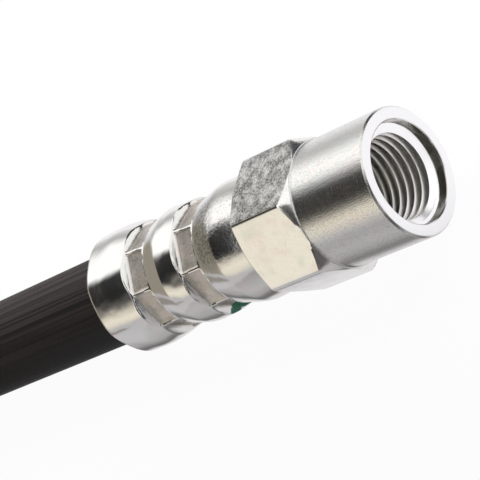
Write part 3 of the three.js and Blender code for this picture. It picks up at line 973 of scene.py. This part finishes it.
def cut_thread(piece, values):
    """Cuts a thread into a fitting with a wound cutter, then settles its shading."""
    cutter = bpy.data.objects.new("thread_cutter", bpy.data.meshes.new("thread_cutter"))
    bpy.context.scene.collection.objects.link(cutter)
    run_tree(cutter, thread_tree(), values)
    cut = piece.modifiers.new("thread", "BOOLEAN")
    cut.operation = "DIFFERENCE"
    cut.solver = "EXACT"
    cut.object = cutter
    keep_result(piece)
    bpy.data.objects.remove(cutter)
    piece.data.shade_smooth()
    piece.data.set_sharp_from_angle(angle=SHARP_FITTING_EDGE)
    weighted = piece.modifiers.new("edges", "WEIGHTED_NORMAL")
    weighted.keep_sharp = True
    keep_result(piece)


class BRAKE_HOSE_OT_fittings(bpy.types.Operator):
    """Make the two turned fittings, one with an internal and one with an external thread"""

    bl_idname = "brake_hose.fittings"
    bl_label = "Fittings"

    def execute(self, context):
        _, sizes, ferrule, finish = sizes_of(context)
        material = turned_zinc(finish)
        hex_front = FERRULE_LENGTH + ferrule.clearance + sizes.hex_length
        pitch = sizes.thread_pitch
        major = sizes.thread_diameter / 2
        crest, root, flank = thread_shape(sizes)
        shared = {"Pitch": pitch, "Material": material}

        socket_turns = (sizes.socket_thread - sizes.mouth_depth + pitch) / pitch
        socket_tip = pitch / 8
        near = fitting_blank("near_fitting", sizes, ferrule, female_profile(sizes, hex_front))
        cut_thread(near, {
            **shared,
            "Start": NOSE_FACE - sizes.socket_thread,
            "Turns": socket_turns,
            "Steps": round(socket_turns * STEPS_PER_TURN),
            "Tip radius": major,
            "Tip width": socket_tip,
            "Base radius": crest - CUT_OVERSHOOT,
            "Base width": socket_tip + 2 * (major - crest + CUT_OVERSHOOT) * flank,
            "Fade": major - crest,
        })
        put_on_end(near, near_end(), material, "female_fitting")

        shank_turns = (sizes.shank_length + pitch) / pitch
        shank_base = pitch * 7 / 8 + 2 * CUT_OVERSHOOT * flank
        far = fitting_blank("far_fitting", sizes, ferrule, male_profile(sizes, hex_front))
        cut_thread(far, {
            **shared,
            "Start": hex_front + sizes.relief_length - pitch / 2,
            "Turns": shank_turns,
            "Steps": round(shank_turns * STEPS_PER_TURN),
            "Tip radius": root,
            "Tip width": shank_base - 2 * (major - root + CUT_OVERSHOOT) * flank,
            "Base radius": major + CUT_OVERSHOOT,
            "Base width": shank_base,
            "Fade": 0.0,
        })
        put_on_end(far, far_end(), material, "male_fitting")
        return {"FINISHED"}


SHARP_FERRULE_EDGE = math.radians(50)
RAMP_POWER = 1.35  # 1 is a straight slope, 2 is round all the way
LIP_STEPS = 8
END_STEPS = 5
RIDGE_REACH = 2.2  # the closer angles round a ridge cover this many times its width


def flank_points(crown, edge, spacing):
    """Rounded flank of a bulge from its level crown to its edge, each a (place, radius) pair."""
    steps = max(2, round(abs(edge[0] - crown[0]) / spacing))
    points = []
    for step in range(steps + 1):
        share = step / steps
        place = crown[0] + (edge[0] - crown[0]) * share
        points.append((place, edge[1] + (crown[1] - edge[1]) * math.cos(share * math.pi / 2)))
    return points


def ramp_points(start, crown, spacing):
    """Nearly straight slope from a groove's end up to a crown, each a (place, radius) pair."""
    steps = max(2, round((crown[0] - start[0]) / spacing))
    points = []
    for step in range(steps + 1):
        share = step / steps
        fall = (crown[1] - start[1]) * (1 - share) ** RAMP_POWER
        points.append((start[0] + (crown[0] - start[0]) * share, crown[1] - fall))
    return points


def sleeve_profile(sizes, spacing=0.1 * MM):
    """Outside of a ferrule before its jaw marks, from its lip to its edge next to the hexagon."""
    valley = FERRULE_RADIUS - sizes.ridge_drop
    half = sizes.groove_length / 2
    first = sizes.groove_start
    second = first + sizes.groove_spacing
    lip = sizes.lip_round
    outside = []
    for step in range(LIP_STEPS):
        angle = step / LIP_STEPS * math.pi / 2
        radius = FERRULE_RADIUS - sizes.lip_drop - lip + lip * math.sin(angle)
        outside.append((lip - lip * math.cos(angle), radius))
    shoulder = valley + sizes.shoulder
    lip_crown = (sizes.lip_crown, FERRULE_RADIUS)
    outside += flank_points(lip_crown, (lip, FERRULE_RADIUS - sizes.lip_drop), spacing)[::-1]
    outside += flank_points(lip_crown, (first - half, shoulder), spacing)[1:]
    for start, stop, stop_radius, reach, drop in (
        (first + half, second - half, shoulder, sizes.middle_crown, sizes.middle_drop),
        (
            second + half,
            FERRULE_LENGTH - sizes.end_round,
            FERRULE_RADIUS - sizes.end_drop,
            sizes.inner_crown,
            sizes.inner_drop,
        ),
    ):
        crown = (start + reach, FERRULE_RADIUS - drop)
        fall = (outside[-1][0] + sizes.shoulder, valley)
        outside += flank_points(outside[-1], fall, spacing / 2)[1:]
        groove_floor = np.linspace(fall[0], start, round(2 * half / spacing), endpoint=False)[1:]
        low = valley - sizes.ramp_drop
        outside += [
            (place, valley + (low - valley) * (place - fall[0]) / (start - fall[0])) for place in groove_floor
        ]
        outside += ramp_points((start, low), crown, spacing)
        outside += flank_points(crown, (stop, stop_radius), spacing)[1:]
    corner = outside[-1][1] - sizes.end_round
    for step in range(1, END_STEPS + 1):
        angle = step / END_STEPS * math.pi / 2
        place = FERRULE_LENGTH - sizes.end_round + sizes.end_round * math.sin(angle)
        outside.append((place, corner + sizes.end_round * math.cos(angle)))
    return outside


def sleeve_bore(sizes, fitting):
    """Inside of a ferrule, from its turned-in end back to its lip."""
    flange = fitting.neck_diameter / 2 + sizes.clearance
    edge = 0.15 * MM
    bore = [(FERRULE_LENGTH, flange + edge), (FERRULE_LENGTH - edge, flange)]
    bore += [(FERRULE_LENGTH - sizes.flange_wall, flange)]
    bore += grip_profile(sizes)[:0:-1]
    return bore + [(edge, FERRULE_RADIUS - sizes.wall), (0, FERRULE_RADIUS - sizes.wall + edge)]


def jaw_angles(sizes, ridge_steps=10, mark_steps=18):
    """Angles from the top, closer together on the ridges between the jaw marks."""
    sector = 2 * math.pi / sizes.jaw_count
    ridge = RIDGE_REACH * sizes.ridge_width / FERRULE_RADIUS
    angles = []
    for jaw in range(sizes.jaw_count):
        middle = sizes.jaw_turn + (jaw + 0.5) * sector
        angles.append(np.linspace(middle - ridge / 2, middle + ridge / 2, ridge_steps, endpoint=False))
        angles.append(np.linspace(middle + ridge / 2, middle + sector - ridge / 2, mark_steps, endpoint=False))
    return np.concatenate(angles)


class BRAKE_HOSE_OT_ferrules(bpy.types.Operator):
    """Make the two crimped ferrules"""

    bl_idname = "brake_hose.ferrules"
    bl_label = "Ferrules"

    def execute(self, context):
        _, fitting, sizes, finish = sizes_of(context)
        material = crimped_zinc(finish)
        profile = sleeve_profile(sizes) + sleeve_bore(sizes, fitting)
        angles = jaw_angles(sizes)
        floor = FERRULE_RADIUS - sizes.mark_drop
        half_face = floor * math.tan(math.pi / sizes.jaw_count)
        tree = crimp_tree()
        for name, end, node in (
            ("near_ferrule", near_end(), "female_ferrule"),
            ("far_ferrule", far_end(), "male_ferrule"),
        ):
            piece = closed_shell(name, turned_rings(profile, angles))
            run_tree(piece, tree, {
                "Jaws": sizes.jaw_count,
                "Turn": sizes.jaw_turn,
                "First groove": sizes.groove_start,
                "Spacing": sizes.groove_spacing,
                "Half length": sizes.groove_length / 2 - sizes.groove_slope,
                "Half width": half_face - sizes.ridge_width / 2,
                "Floor": floor,
                "Slope": (sizes.mark_drop - sizes.ridge_drop) / sizes.groove_slope,
                "Side slope": sizes.side_slope,
                "Softness": sizes.mark_soft,
                "Swell": sizes.swell,
                "Material": material,
            })
            piece.data.set_sharp_from_angle(angle=SHARP_FERRULE_EDGE)
            put_on_end(piece, end, material, node)
        return {"FINISHED"}


# What polished metal mirrors along the hose: (angle about the X axis in degrees, from straight up
# towards -Y, level of light, warmth). Towards the mouth it has one level instead.
STUDIO_BACK = [
    (-180, 0.75, 0), (-125, 0.75, 0), (-113, 0.7, 0), (-101, 0.72, 0), (-90, 0.8, 0), (-78, 0.7, 0),
    (-66, 0.55, 0), (-55, 0.6, 0), (-46, 0.95, 0), (-38, 1.3, 0), (-9, 1.3, 0), (-3, 0.8, 0), (3, 0.2, 0),
    (9, 0.04, 0), (50, 0.02, 0), (57, 0.15, 0.5), (63, 0.75, 1), (72, 1, 1), (82, 0.9, 1), (92, 0.6, 0.3),
    (180, 0.6, 0),
]
STUDIO_FRONT = 1.1
FRONT_STARTS = (-0.3, 0.05)  # along X, in a direction of length 1
STUDIO_LEVEL = 1.3  # strength of that world, by which the levels are divided
PLAIN_LEVEL = 0.32  # what lights everything else
WARM = (1, 0.93, 0.8)
# Round flags that darken what metal mirrors: (direction, reach and edge in degrees, colour).
FLAGS = [
    ((0.33, 0.88, 0.28), 21, 2.5, (0.05, 0.05, 0.06)),
    ((0.72, -0.52, 0.46), 22, 2.5, (0.05, 0.05, 0.05)),
    ((0.35, -0.88, 0.3), 23, 4, (0.06, 0.05, 0.05)),
    ((-1, -0.05, 0.1), 31, 4, (0.34, 0.31, 0.26)),
]

# The sheet as metal mirrors it: a painted reflection in bands along the hose, with painted shadow in its dark
# bands: (place along Y in mm, level).
FLOOR_BANDS = [
    (-60, 0.42), (-25, 0.52), (-14, 0.6), (-10.2, 0.5), (-8.6, 0.26), (-7.3, 0.16), (-6.5, 0.5), (-5.9, 0.88),
    (0, 1), (20, 1),
]
FLOOR_TINT = (0.99, 0.975, 1)
BAND_SHIFT = 0.6  # mm by which the bands lie further out, except under the hexagon
HEXAGON_STARTS, HEXAGON_ENDS = (-5, -3), (4, 16)
# Its other colours, painted shade in that reflection beside, beyond and ahead of the hose, and the soft steps
# along X and Y in mm that bound them.
FLOOR_BESIDE = (0.7, 0.69, 0.72)
BESIDE_ENDS, NEAR_SIDE_ENDS = (-26, -21), (-12, -9.5)
FLOOR_BEYOND = (0.34, 0.31, 0.28)
BEYOND_ENDS, BEYOND_SIDE_STARTS = (-50, -42), (-52, -45)
FLOOR_AHEAD = (0.08, 0.08, 0.08)
AHEAD_STARTS, AHEAD_SIDE_ENDS = (15, 18), (-15, -12)
# where the painted shade in front of the hose fades to the pale sheet
FRONT_SHADE_FADES = (-30, 12)  # along Y in mm, for everything that isn't a mirror
# How much of the colour beside the hose shows, and of the glow in what the camera and metal see.
BESIDE_SHARE = 0.8
CAMERA_SHARE = 0.96
MIRROR_SHARE = 0.85

CAMERA_PLACE = (0.13817, -0.10921, 0.11502)
CAMERA_AIM = (-0.00322, 0.00032, 0.00733)
CAMERA_ROLL = math.radians(-57.26)
CAMERA_LENS = 148.45
CAMERA_SENSOR = 36
CAMERA_START = 0.01
FLOOR_HALF = 3
LAMP_PLACE = (-0.14, 0.49, 0.58)
LAMP_TILT = math.radians(-40)
LAMP_LENGTH, LAMP_WIDTH = 1.2, 0.4
LAMP_POWER = 7.2


def studio_stops(levels):
    stops = []
    for angle, level, warmth in levels:
        tint = Vector((1, 1, 1)).lerp(Vector(WARM), warmth)
        stops.append((angle / 360 + 0.5, tuple(tint * (level / STUDIO_LEVEL))))
    return stops


def studio_world():
    world = bpy.data.worlds.new("studio")
    world.use_nodes = True
    nodes = Nodes(world.node_tree)
    direction = nodes.add("ShaderNodeTexCoord", {}, output="Generated")
    parts = nodes.split(direction)
    share = turn_of(parts) / (2 * math.pi) + 0.5
    back = nodes.add("ShaderNodeValToRGB", {"stops": studio_stops(STUDIO_BACK)}, {0: share})
    cards = nodes.mix(parts.between(*FRONT_STARTS), back, (STUDIO_FRONT / STUDIO_LEVEL,) * 3)
    for place, reach, edge, shade in FLAGS:
        middle = tuple(Vector(place).normalized())
        to_flag = nodes.vector("DOT_PRODUCT", direction, middle).output("Value").math("ARCCOSINE")
        flag = 1 - to_flag.between(math.radians(reach - edge), math.radians(reach + edge))
        cards = nodes.mix(flag, cards, tuple(part / STUDIO_LEVEL for part in shade))
    plain, reflected, white = (
        nodes.add("ShaderNodeBackground", {}, {"Color": shade, "Strength": level})
        for shade, level in (((1, 1, 1, 1), PLAIN_LEVEL), (cards, STUDIO_LEVEL), ((1, 1, 1, 1), 1))
    )
    lit = nodes.add("ShaderNodeMixShader", {}, {0: nodes.mirrored(), 1: plain, 2: reflected})
    seen = nodes.add("ShaderNodeMixShader", {}, {0: nodes.light_path("Is Camera Ray"), 1: lit, 2: white})
    nodes.add("ShaderNodeOutputWorld", {}, {"Surface": seen})
    return world


def floor_material(finish):
    """Matt sheet, darker in front as painted shade, near white to the camera with its shadow; metal mirrors it
    as a painted reflection in bands of light and painted shade along the hose.
    """
    material, nodes = empty_material("pale_floor")
    _, parts = in_millimetres(nodes, nodes.add("ShaderNodeTexCoord", {}, output="Object"))
    across = parts.output("Y")
    # Painted shade: the matt sheet is darker in front of the hose.
    sheet = nodes.mix(across.between(*FRONT_SHADE_FADES), finish.floor_front_shade, finish.floor)
    matt = nodes.add(
        "ShaderNodeBsdfPrincipled", {}, {"Base Color": sheet, "Roughness": 1, "Specular IOR Level": 0}
    )

    start, end = FLOOR_BANDS[0][0], FLOOR_BANDS[-1][0]
    tint = Vector(FLOOR_TINT)
    stops = [((place - start) / (end - start), tuple(tint * level)) for place, level in FLOOR_BANDS]
    under_hexagon = parts.between(*HEXAGON_STARTS) * (1 - parts.between(*HEXAGON_ENDS))
    shifted = across - (1 - under_hexagon) * BAND_SHIFT
    near_side = 1 - across.between(*NEAR_SIDE_ENDS)
    beside = (1 - parts.between(*BESIDE_ENDS)) * near_side
    beyond = (1 - parts.between(*BEYOND_ENDS)) * across.between(*BEYOND_SIDE_STARTS) * near_side
    ahead = parts.between(*AHEAD_STARTS) * (1 - across.between(*AHEAD_SIDE_ENDS))
    # Painted reflection: what metal sees of the floor, with painted shadow bands and darker patches.
    painted_reflection = nodes.add("ShaderNodeValToRGB", {"stops": stops}, {0: (shifted - start) / (end - start)})
    painted_reflection = nodes.mix(beside * BESIDE_SHARE, painted_reflection, FLOOR_BESIDE)
    painted_reflection = nodes.mix(beyond, painted_reflection, FLOOR_BEYOND)
    painted_reflection = nodes.mix(ahead, painted_reflection, FLOOR_AHEAD)

    seen = nodes.light_path("Is Camera Ray")
    glow_shade = nodes.mix(seen, painted_reflection, (1, 1, 1))
    glow = nodes.add("ShaderNodeEmission", {}, {"Color": glow_shade, "Strength": 1})
    share = seen * CAMERA_SHARE + nodes.mirrored() * MIRROR_SHARE
    finish_material(nodes, nodes.add("ShaderNodeMixShader", {}, {0: share, 1: matt, 2: glow}))
    return material


class BRAKE_HOSE_OT_stage(bpy.types.Operator):
    """Make the camera, the floor and the studio light"""

    bl_idname = "brake_hose.stage"
    bl_label = "Stage"

    def execute(self, context):
        scene = context.scene
        finish = sizes_of(context)[3]
        camera_data = bpy.data.cameras.new("camera")
        camera_data.lens = CAMERA_LENS
        camera_data.sensor_width = CAMERA_SENSOR
        camera_data.clip_start = CAMERA_START
        camera = bpy.data.objects.new("camera", camera_data)
        scene.collection.objects.link(camera)
        looking = Vector(CAMERA_AIM) - Vector(CAMERA_PLACE)
        turned = looking.to_track_quat("-Z", "Y").to_matrix() @ Matrix.Rotation(CAMERA_ROLL, 3, "Z")
        camera.matrix_world = Matrix.Translation(CAMERA_PLACE) @ turned.to_4x4()
        scene.camera = camera

        half = FLOOR_HALF
        floor_mesh = bpy.data.meshes.new("floor")
        corners = [(-half, -half, 0), (half, -half, 0), (half, half, 0), (-half, half, 0)]
        floor_mesh.from_pydata(corners, [], [(0, 1, 2, 3)])
        floor_mesh.materials.append(floor_material(finish))
        floor = bpy.data.objects.new("floor", floor_mesh)
        scene.collection.objects.link(floor)

        lamp_data = bpy.data.lights.new("soft_bank", "AREA")
        lamp_data.shape = "RECTANGLE"
        lamp_data.size = LAMP_LENGTH
        lamp_data.size_y = LAMP_WIDTH
        lamp_data.energy = LAMP_POWER
        lamp = bpy.data.objects.new("soft_bank", lamp_data)
        lamp.location = LAMP_PLACE
        lamp.rotation_euler = (LAMP_TILT, 0, 0)
        lamp.visible_glossy = False
        scene.collection.objects.link(lamp)

        scene.world = studio_world()
        scene.view_settings.view_transform = "Standard"
        return {"FINISHED"}


class BRAKE_HOSE_PT_panel(bpy.types.Panel):
    """Lists the pieces of the brake hose"""

    bl_label = "Brake hose"
    bl_idname = "BRAKE_HOSE_PT_panel"
    bl_space_type = "VIEW_3D"
    bl_region_type = "UI"
    bl_category = "Brake hose"

    def draw(self, context):
        for operator in OPERATORS:
            self.layout.operator(operator.bl_idname)
        for group in sizes_of(context):
            box = self.layout.box()
            for name in group.bl_rna.properties.keys():
                if name not in ("rna_type", "name"):
                    box.prop(group, name)


OPERATORS = (
    BRAKE_HOSE_OT_stage,
    BRAKE_HOSE_OT_fittings,
    BRAKE_HOSE_OT_ferrules,
    BRAKE_HOSE_OT_hose,
)
GROUPS = {
    "brake_hose_rubber": HoseSizes,
    "brake_hose_fittings": FittingSizes,
    "brake_hose_ferrules": FerruleSizes,
    "brake_hose_finish": Finish,
}


def register():
    for group in GROUPS.values():
        bpy.utils.register_class(group)
    for name, group in GROUPS.items():
        setattr(bpy.types.Scene, name, PointerProperty(type=group))
    for known in (*OPERATORS, BRAKE_HOSE_PT_panel):
        bpy.utils.register_class(known)


def unregister():
    for known in (BRAKE_HOSE_PT_panel, *reversed(OPERATORS)):
        bpy.utils.unregister_class(known)
    for name, group in GROUPS.items():
        delattr(bpy.types.Scene, name)
        bpy.utils.unregister_class(group)


def main():
    register()
    bpy.ops.brake_hose.stage()
    bpy.ops.brake_hose.fittings()
    bpy.ops.brake_hose.ferrules()
    bpy.ops.brake_hose.hose()


if __name__ == "__main__":
    main()
